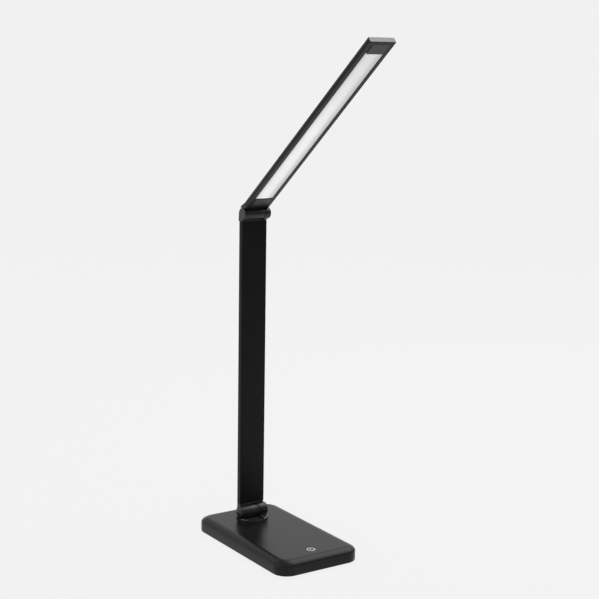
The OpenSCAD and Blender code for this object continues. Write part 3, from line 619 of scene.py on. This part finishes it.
CAP = {node: [np.array(v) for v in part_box(node)] for node in ("barrel_cap", "lug_cap", "upper_cap")}
CAP_DEEP = 1.6 * MM
BARREL_R = (CAP["barrel_cap"][1][2] - CAP["barrel_cap"][0][2]) / 2 + 0.3 * MM
BARREL_X = CAP["barrel_cap"][1][0], CAP["lug_cap"][1][0] - CAP_DEEP
COLLAR_LOW, COLLAR_HIGH = (np.array(v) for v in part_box("hinge_collar"))


def barrel_sleeve(name, x0, x1):
    """Turned sleeve along the lower hinge's axis: its ends are eased by quarter circles."""
    bore, ease = 3 * MM, 0.25 * MM
    draw, rise = quarter(ease)
    first = np.column_stack([BARREL_R - draw, x0 + rise])
    last = np.column_stack([BARREL_R - draw, x1 - rise])[::-1]
    flat = BARREL_R - 2 * ease
    profile = np.vstack([[(bore, x0), (flat, x0)], first, last, [(flat, x1), (bore, x1)]])
    return new_mesh(name, [turned(profile)], crosswise(HINGE_LOW), looped=True)


def shoulder():
    """Left shoulder of the yoke: the arm's section widens towards the barrel as the square of the
    way down."""
    flare, inner, roundness = 1.4 * MM, 8 * MM, 0.16
    t = np.linspace(0, 1, 13)
    wide = TUBE_HIGH[0] + 0.2 * MM + flare * t ** 2
    z = TUBE_LOW[2] + 0.3 * MM - (TUBE_LOW[2] - HINGE_LOW) * t
    y0, y1 = TUBE_LOW[1] + 0.1 * MM, TUBE_HIGH[1] - 0.1 * MM - 0.3 * MM * t ** 2
    points, _ = rounded_outline(-1, 1, -1, 1, roundness, 5)
    across = (points[None, :, 0] - 1) / 2 * (wide - inner)[:, None] - inner
    back = y0 + (points[None, :, 1] + 1) / 2 * (y1 - y0)[:, None]
    return new_mesh("shoulder", [np.stack([across, back, np.broadcast_to(z[:, None], across.shape)], -1)])


def rim_cutter(top, round_r):
    """Ring that leaves a quarter circle on the turntable's rim: all that lies outside that arc."""
    draw, rise = quarter(round_r, 8)
    arc = np.column_stack([DISC_R - rise, top - draw])
    beyond, clear = 1 * MM, 0.02 * MM
    outside = [(DISC_R - round_r, top + beyond), (DISC_R + beyond, top + beyond),
               (DISC_R + beyond, top - round_r), (DISC_R + clear, top - round_r)]
    return new_mesh("rim", [turned(np.vstack([arc, outside]))], looped=True)


def lower_hinge():
    """Turntable and yoke, each with its half of the barrel."""
    disc_top, overlap, gap = COVER_HIGH[2] + 2.6 * MM, 0.1 * MM, 0.05 * MM
    disc = softened("turntable", 0.3 * MM)
    cut_out(disc, rim_cutter(disc_top, 1.3 * MM))
    finish_piece(disc, "swivel_disc", "turntable", "hinge_metal", ["turntable"],
                 finish=cast("disc_gloss_paint", grey(0.012), 0.3, 0.7))
    lug = new_object("lug", barrel_sleeve("lug", COLLAR_HIGH[0] + gap, BARREL_X[1] + overlap))
    finish_piece(lug, "lug_sleeve", "turntable", "hinge_metal")
    yoke = add_to(softened("lower_fitting", 0.35 * MM), shoulder(),
                  barrel_sleeve("barrel", BARREL_X[0] - overlap, COLLAR_LOW[0]))
    finish_piece(yoke, "lower_yoke", "arm", "hinge_metal", ["lower_fitting"])


def end_cap(name, radius, seat, reach, fullness, body, node, at):
    """Turned end cap: radius and rise are powers of cosine and sine, so that the rim swells gently
    into a nearly flat end."""
    a = np.linspace(0, math.pi / 2, 33)
    power, root = 2 / fullness, seat - 0.02 * reach
    rising = np.column_stack([radius * np.cos(a) ** power, seat + reach * np.sin(a) ** power])
    profile = np.vstack([[(0, root), (radius, root)], rising])
    obj = new_object(name, new_mesh(name, [turned(profile)], crosswise(at)))
    finish_piece(obj, name, body, "hinge_metal", [node], 50)


def collar():
    """Friction collar: a ring with eased edges and a shallow groove round it."""
    low, high = COLLAR_LOW, COLLAR_HIGH
    radius, bore, ease = (high[2] - low[2]) / 2, 2.1 * MM, 0.25 * MM
    depth, mouth, bed = 0.12 * MM, 0.35 * MM, 0.25 * MM
    groove = [(radius, -mouth), (radius - depth, -bed), (radius - depth, bed), (radius, mouth)]
    profile = np.vstack([[(bore, low[0]), (radius - ease, low[0]), (radius, low[0] + ease)],
                         np.array(groove) + [0, (low[0] + high[0]) / 2],
                         [(radius, high[0] - ease), (radius - ease, high[0]), (bore, high[0])]])
    obj = new_object("collar", new_mesh("collar", [turned(profile)], crosswise(HINGE_LOW), looped=True))
    finish_piece(obj, "friction_collar", "arm", "collar_metal", ["hinge_collar"])


def screw_seat(place):
    """Countersunk hole as a turned cutter, its mouth a little above the face."""
    head, shank, sink, depth, rise = 1.82 * MM, 1.02 * MM, 0.8 * MM, 3 * MM, 0.2 * MM
    mouth = head + (head - shank) / sink * rise
    profile = [(0, rise), (mouth, rise), (shank, -sink), (shank, -depth), (0, -depth)]
    return new_mesh("seat", [turned(profile, 32)], place)


def arm_tube():
    """Arm: a flat tube with rounded corners, its mouths eased, with seats for the four screws."""
    corner, wall, ease, proud = 0.7 * MM, 1.1 * MM, 0.15 * MM, 0.3 * MM
    outline = rounded_outline(TUBE_LOW[0] - proud, TUBE_HIGH[0] + proud, TUBE_LOW[1], TUBE_HIGH[1], corner)
    ends = soft_rows(TUBE_LOW[2], TUBE_HIGH[2], ease)[1:-1]
    rows = np.vstack([[(wall, TUBE_LOW[2])], ends, [(wall, TUBE_HIGH[2])]])
    obj = new_object("arm", new_mesh("arm", [prism(outline, rows)], looped=True))
    aside, inwards = 8 * MM, 7 * MM
    for x in (-aside, aside):
        for z in (TUBE_LOW[2] + inwards, TUBE_HIGH[2] - inwards):
            cut_out(obj, screw_seat(lambda g: np.stack(
                [g[..., 0] + x, g[..., 2] + TUBE_HIGH[1], g[..., 1] + z], -1)))
    finish_piece(obj, "arm_extrusion", "arm", "arm_metal", ["arm_tube"])


lower_hinge()
end_cap("barrel_end", BARREL_R, BARREL_X[0], -3.9 * MM, 2.35, "arm", "barrel_cap", HINGE_LOW)
end_cap("lug_end", BARREL_R, BARREL_X[1], 3.6 * MM, 2.5, "turntable", "lug_cap", HINGE_LOW)
collar()
arm_tube()

# Upper hinge and head

FORK_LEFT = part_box("upper_fitting")[0][0]
WASHER_LOW, WASHER_HIGH = (np.array(v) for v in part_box("upper_washers"))
EAR_R = (CAP["upper_cap"][1][2] - CAP["upper_cap"][0][2]) / 2 + 0.4 * MM
EAR_RIGHT = CAP["upper_cap"][0][0]


def upper_fork():
    """Fork: each ear is a round eye drawn down to the arm's section."""
    foot, foot_z = 0.5 * MM, TUBE_HIGH[2] - HINGE_HIGH + 0.5 * MM
    eye = belt_outline([(0, 0, EAR_R), (TUBE_LOW[1] + foot, foot_z, foot),
                        (TUBE_HIGH[1] - foot, foot_z, foot)])
    proud, gap = 0.1 * MM, 0.05 * MM
    ears = [(FORK_LEFT - proud, WASHER_LOW[0] - gap), (WASHER_HIGH[0] + gap, EAR_RIGHT + proud)]
    shells = [prism(eye, soft_rows(x0, x1, 0.45 * MM)) for x0, x1 in ears]
    fork = add_to(softened("upper_fitting", 0.3 * MM), new_mesh("ears", shells, crosswise(HINGE_HIGH)))
    finish_piece(fork, "upper_fork", "arm", "hinge_metal", ["upper_fitting"])


upper_fork()
end_cap("fork_end", EAR_R, EAR_RIGHT, 3.1 * MM, 2.9, "arm", "upper_cap", HINGE_HIGH)


def head_box(node):
    """Lowest and highest corner of a CAD node in the head's own frame."""
    corners = np.zeros(len(NODES[node].data.vertices) * 3, np.float32)
    NODES[node].data.vertices.foreach_get("co", corners)
    x, y, z = (corners.reshape(-1, 3) - [0, 0, HINGE_HIGH]).T
    back = y * math.cos(LEAN) + z * math.sin(LEAN)
    along = z * math.cos(LEAN) - y * math.sin(LEAN)
    local = np.stack([x, back, along], -1)
    return local.min(0), local.max(0)


SHELL_LOW, SHELL_HIGH = head_box("back_cover")
FACE_LOW, FACE_HIGH = head_box("light_frame")
GLOW_LOW, GLOW_HIGH = head_box("diffuser")
TIP_LOW, TIP_HIGH = head_box("tip_cap")
HALF = SHELL_HIGH[0] + 0.2 * MM
HEAD_BACK = SHELL_HIGH[1] + 0.3 * MM
WINDOW = 10.55 * MM
WINDOW_LOW, WINDOW_HIGH = FACE_LOW[2] + 3.2 * MM, FACE_HIGH[2] - 3.2 * MM


def tilt_knuckle():
    """Knuckle with the head's lower end, whose underside is an arc just clear of the ears. Its left
    side widens to the left ear as a smooth step of the way down."""
    clear, y0, y1 = EAR_R + 0.35 * MM, FACE_LOW[1] + 0.05 * MM, HEAD_BACK
    arc_end = math.radians(14)
    a = np.linspace(math.acos(y0 / clear), arc_end, 25)
    arc = clear * np.column_stack([np.cos(a), np.sin(a)])
    low, top = arc[-1, 1], SHELL_LOW[2] + 0.2 * MM
    up = np.linspace(0, 1, 13)[1:, None]
    front = np.column_stack([np.full(6, y0), np.linspace(top, arc[0, 1], 7)[:-1]])
    scoop = traced_outline(np.vstack([arc, [(y1, low)] + up * [(0, top - low)], front]))
    rows = soft_rows(-HALF, HALF, 0.5 * MM)
    half = len(rows) // 2
    side, deep = 3 * MM, 5 * MM
    end = prism(scoop, np.vstack([rows[:half], [(0, side - HALF)], rows[half:]]))
    t = np.clip((top - end[..., 1]) / deep, 0, 1)
    left = np.clip(-end[..., 2] - HALF + side, 0, side) / side
    end[..., 2] -= left * t * t * (3 - 2 * t) * (-FORK_LEFT - HALF)
    knuckle = add_to(softened("head_knuckle", 0.25 * MM),
                     new_mesh("end", [end], lambda g: on_head(g[..., [2, 0, 1]])))
    finish_piece(knuckle, "tilt_knuckle", "head", "hinge_metal", ["head_knuckle"])


def back_shell():
    """Back of the head: a shallow channel section carried along the head, with seats for its screws."""
    wall, lip, outer, inner = 1.2 * MM, 0.3 * MM, 0.7 * MM, 0.3 * MM
    y0, y1 = SHELL_LOW[1], HEAD_BACK
    section = filleted_outline(
        [(HALF, y0), (HALF, y1), (-HALF, y1), (-HALF, y0), (wall - HALF, y0), (wall - HALF, y1 - wall),
         (HALF - wall, y1 - wall), (HALF - wall, y0)],
        [lip, outer, outer, lip, lip, inner, inner, lip])
    rows = soft_rows(SHELL_LOW[2], SHELL_HIGH[2], 0.12 * MM)
    obj = new_object("back", new_mesh("back", [prism(section, rows)], on_head))
    aside, inwards = 7 * MM, 8 * MM
    for x in (-aside, aside):
        for z in (SHELL_LOW[2] + inwards, SHELL_HIGH[2] - inwards):
            cut_out(obj, screw_seat(lambda g: on_head(np.stack(
                [g[..., 0] + x, g[..., 2] + y1, g[..., 1] + z], -1))))
    finish_piece(obj, "head_back", "head", "head_metal", ["back_cover"])


def light_frame():
    """Front frame: an eased border between the window and the head's outline, two skirts that stand
    in the back shell, and two lips that close the groove between frame and shell."""
    front, back = FACE_LOW[1], FACE_LOW[1] + 0.6 * MM
    outer = rounded_outline(-HALF, HALF, FACE_LOW[2], FACE_HIGH[2], 0.5 * MM, 4)
    inner = rounded_outline(-WINDOW, WINDOW, WINDOW_LOW, WINDOW_HIGH, 0.4 * MM, 4)
    draw, rise = quarter(0.2 * MM)
    flat = 0.32 * MM
    out_front = np.column_stack([draw, front + rise])
    out_back = np.column_stack([draw, back - rise])[::-1]
    in_front, in_back = out_front * [-1, 1], out_back * [-1, 1]
    border = np.concatenate([
        prism(outer, np.vstack([[(flat, front)], out_front, out_back, [(flat, back)]])),
        prism(inner, np.vstack([[(-flat, back)], in_back[::-1], in_front[::-1], [(-flat, front)]]))])
    sunk = 0.05 * MM
    skirt_x, skirt_t = 13.55 * MM, 0.8 * MM
    lip_x, lip_t, lip_back = HALF - 0.5 * MM, 0.5 * MM, SHELL_LOW[1] + sunk
    sides = [(-skirt_x, skirt_t, FACE_HIGH[1]), (skirt_x - skirt_t, skirt_t, FACE_HIGH[1]),
             (-lip_x, lip_t, lip_back), (lip_x - lip_t, lip_t, lip_back)]
    skirts = [prism(rounded_outline(x, x + wide, back - sunk, deep, 0.15 * MM, 3),
                    soft_rows(FACE_LOW[2], FACE_HIGH[2], 0.05 * MM)) for x, wide, deep in sides]
    obj = add_to(new_object("border", new_mesh("border", [border], on_head_flat, looped=True)),
                 new_mesh("skirts", skirts, on_head))
    finish_piece(obj, "head_frame", "head", "frame_metal", ["light_frame"])


def diffuser():
    """Milky sheet: its section is flat under the frame and bulges a little in the window, as a power
    of one minus the squared place across it."""
    half, front, back = GLOW_HIGH[0], GLOW_LOW[1], GLOW_HIGH[1]
    high, reach, power = 0.3 * MM, WINDOW - 0.3 * MM, 1.5
    x = np.linspace(-1, 1, 49)
    bulge = high * np.clip(1 - (x * half / reach) ** 2, 0, 1) ** power
    section = traced_outline(np.vstack([np.column_stack([x * half, front - bulge]),
                                        [(half, back), (-half, back)]]))
    rows = [(0, GLOW_LOW[2]), (0, GLOW_HIGH[2])]
    obj = new_object("glow", new_mesh("glow", [prism(section, rows)], on_head))
    finish_piece(obj, "lit_diffuser", "head", "diffuser_white", ["diffuser"])


def end_plate(name, node, low, high):
    """Plate at one end of the window: a base behind the frame, and a flush face that leaves a slot
    along its left side."""
    seat_low, seat_high = head_box(node)
    left, right, corner = -9.1 * MM, WINDOW - 0.06 * MM, 0.4 * MM
    back = prism(rounded_outline(seat_low[0], seat_high[0], seat_low[2], seat_high[2], corner, 4),
                 soft_rows(seat_low[1] + 0.3 * MM, seat_high[1], 0.1 * MM))
    insert = prism(rounded_outline(left, right, low, high, corner, 4),
                   soft_rows(FACE_LOW[1] + 0.06 * MM, seat_low[1] + 0.4 * MM, 0.12 * MM))
    obj = new_object(name, new_mesh(name, [back, insert], on_head_flat))
    finish_piece(obj, name, "head", "plate_grey", [node])


def tip_cap():
    """Tip: a rim that follows the head's section, its tongue inside the head, and a flat face let
    into the rim."""
    y0, y1, z0, z1 = TIP_LOW[1], HEAD_BACK, SHELL_HIGH[2], TIP_HIGH[2] - 0.25 * MM
    front_r, back_r = 0.5 * MM, 0.8 * MM
    section = filleted_outline([(HALF, y0), (HALF, y1), (-HALF, y1), (-HALF, y0)],
                               [front_r, back_r, back_r, front_r])
    rim = prism(section, soft_rows(z0, z1 - 0.05 * MM, 0.3 * MM))
    tongue_x = 12.6 * MM
    tongue = prism(rounded_outline(-tongue_x, tongue_x, y0 + 1.65 * MM, y1 - 1.25 * MM, 0.4 * MM, 3),
                   soft_rows(TIP_LOW[2], z0 + 0.1 * MM, 0.2 * MM))
    obj = new_object("tip", new_mesh("tip", [rim, tongue], on_head))
    finish_piece(obj, "tip_rim", "head", "frame_metal", ["tip_cap"])
    face_x, face_y0, face_y1 = HALF - 0.5 * MM, y0 + 0.5 * MM, y1 - 0.35 * MM
    front_r, back_r = 0.3 * MM, 1 * MM
    corners = [(face_x, face_y0), (face_x, face_y1), (-face_x, face_y1), (-face_x, face_y0)]
    face = prism(filleted_outline(corners, [front_r, back_r, back_r, front_r]),
                 soft_rows(z1 - 0.5 * MM, z1, 0.04 * MM))
    finish_piece(new_object("face", new_mesh("face", [face], on_head)), "tip_face", "head", "tip_grey")


tilt_knuckle()
back_shell()
light_frame()
diffuser()
end_plate("lower_plate", "lower_end_plate", WINDOW_LOW + 0.05 * MM, 23.6 * MM)
end_plate("tip_plate", "tip_end_plate", GLOW_HIGH[2] - 1.1 * MM, WINDOW_HIGH - 0.05 * MM)
tip_cap()

# Floor, light and camera

# Tone of the backdrop, and the part of the floor's tone that takes shadows
BACKDROP, FLOOR_SHARE = 0.895, 0.05
WHITE = (1, 1, 1, 1)
# Name, place, width and power of each lamp
LAMPS = (("overhead", (0.85, 0.06, 1.25), 1.2, 8.5), ("left", (-1.4, 0.3, 0.9), 0.7, 2.5))
LAMP_AIM = Vector((0, 0, 0.15))
CAMERA_AT = Vector((-756.491, -1211.281, 517.728)) * MM
CAMERA_TURN, CAMERA_TIP, CAMERA_ROLL = (math.radians(v) for v in (-33.958, 10.0946, 0.9062))
# Width of the sensor and length of the lens, in millimetres
SENSOR, LENS = 36, 80.37


def plain_floor():
    """Wide round floor whose tone is the backdrop's; a small diffuse share keeps the lamp's shadow.
    In reflections it dims on the camera's side, where a studio is darker."""
    size, thick = 9.0, 0.004
    disc = turned([(0, -thick), (size, -thick), (size, 0), (0, 0)], 128)
    obj = new_object("floor", new_mesh("floor", [disc]))
    material = bpy.data.materials.new("floor")
    material.use_nodes = True
    tree = material.node_tree
    tree.nodes.clear()
    glossy = node_in(tree, "ShaderNodeLightPath").outputs["Is Glossy Ray"]
    place = node_in(tree, "ShaderNodeTexCoord").outputs["Object"]
    y = node_in(tree, "ShaderNodeSeparateXYZ", [(0, place)]).outputs["Y"]
    dim = node_in(tree, "ShaderNodeMapRange", [("Value", y), ("From Min", -1.75), ("From Max", -0.4),
                                               ("To Min", 0.28), ("To Max", 1.0)]).outputs[0]
    seen = node_in(tree, "ShaderNodeMix", [(0, glossy), (2, 1.0), (3, dim)]).outputs[0]
    strength = node_in(tree, "ShaderNodeMath", [(0, seen), (1, BACKDROP - FLOOR_SHARE)],
                       operation="MULTIPLY").outputs[0]
    glow = node_in(tree, "ShaderNodeEmission", [("Color", WHITE), ("Strength", strength)]).outputs[0]
    matt = node_in(tree, "ShaderNodeBsdfDiffuse", [("Color", (*grey(FLOOR_SHARE), 1))]).outputs[0]
    both = node_in(tree, "ShaderNodeAddShader", [(0, glow), (1, matt)]).outputs[0]
    node_in(tree, "ShaderNodeOutputMaterial", [("Surface", both)])
    obj.data.materials.append(material)


def surroundings():
    """Even surroundings. In reflections the room in front of the lamp darkens towards the horizon."""
    world = bpy.data.worlds.new("studio")
    bpy.context.scene.world = world
    world.use_nodes = True
    tree = world.node_tree
    tree.nodes.clear()
    ray = node_in(tree, "ShaderNodeLightPath").outputs
    either = node_in(tree, "ShaderNodeMath", [(0, ray["Is Camera Ray"]), (1, ray["Is Glossy Ray"])],
                     operation="MAXIMUM").outputs[0]
    seen = node_in(tree, "ShaderNodeMath", [(0, either), (1, ray["Is Transmission Ray"])],
                   operation="MAXIMUM").outputs[0]
    place = node_in(tree, "ShaderNodeTexCoord").outputs["Generated"]
    way = node_in(tree, "ShaderNodeSeparateXYZ", [(0, place)]).outputs
    lean = node_in(tree, "ShaderNodeMath", [(0, way["Y"]), (1, 0.6), (2, way["Z"])],
                   operation="MULTIPLY_ADD").outputs[0]
    dark = node_in(tree, "ShaderNodeMapRange", [("Value", lean), ("From Min", -0.3), ("From Max", 0.62),
                                                ("To Min", 0.16), ("To Max", BACKDROP)],
                   interpolation_type="SMOOTHSTEP").outputs[0]
    behind = BACKDROP - 0.3 * FLOOR_SHARE
    shine = node_in(tree, "ShaderNodeMix", [(0, ray["Is Glossy Ray"]), (2, behind), (3, dark)]).outputs[0]
    strength = node_in(tree, "ShaderNodeMix", [(0, seen), (2, 0.7), (3, shine)]).outputs[0]
    back = node_in(tree, "ShaderNodeBackground", [("Color", WHITE), ("Strength", strength)]).outputs[0]
    node_in(tree, "ShaderNodeOutputWorld", [("Surface", back)])


def lamps():
    """A soft lamp overhead and a weak one at the left, both aimed at the arm's lower half."""
    for name, place, size, power in LAMPS:
        data = bpy.data.lights.new(name, "AREA")
        data.shape, data.size, data.energy = "DISK", size, power
        lamp = new_object(name, data)
        lamp.location = place
        lamp.rotation_euler = (LAMP_AIM - Vector(place)).to_track_quat("-Z", "Y").to_euler()


def camera():
    """Camera at the photograph's place: turned, tipped down and rolled a little."""
    turn, tip, roll = CAMERA_TURN, CAMERA_TIP, CAMERA_ROLL
    right = Vector((math.cos(turn), math.sin(turn), 0))
    ahead = Vector((-math.sin(turn) * math.cos(tip), math.cos(turn) * math.cos(tip), -math.sin(tip)))
    up = right.cross(ahead)
    across = math.cos(roll) * right + math.sin(roll) * up
    above = math.cos(roll) * up - math.sin(roll) * right
    data = bpy.data.cameras.new("camera")
    data.sensor_width, data.lens = SENSOR, LENS
    data.clip_end = 50
    obj = new_object("camera", data)
    obj.matrix_world = Matrix.Translation(CAMERA_AT) @ Matrix(
        (across, above, -ahead)).transposed().to_4x4()
    bpy.context.scene.camera = obj


plain_floor()
surroundings()
lamps()
camera()
bpy.context.scene.view_settings.view_transform = "Standard"
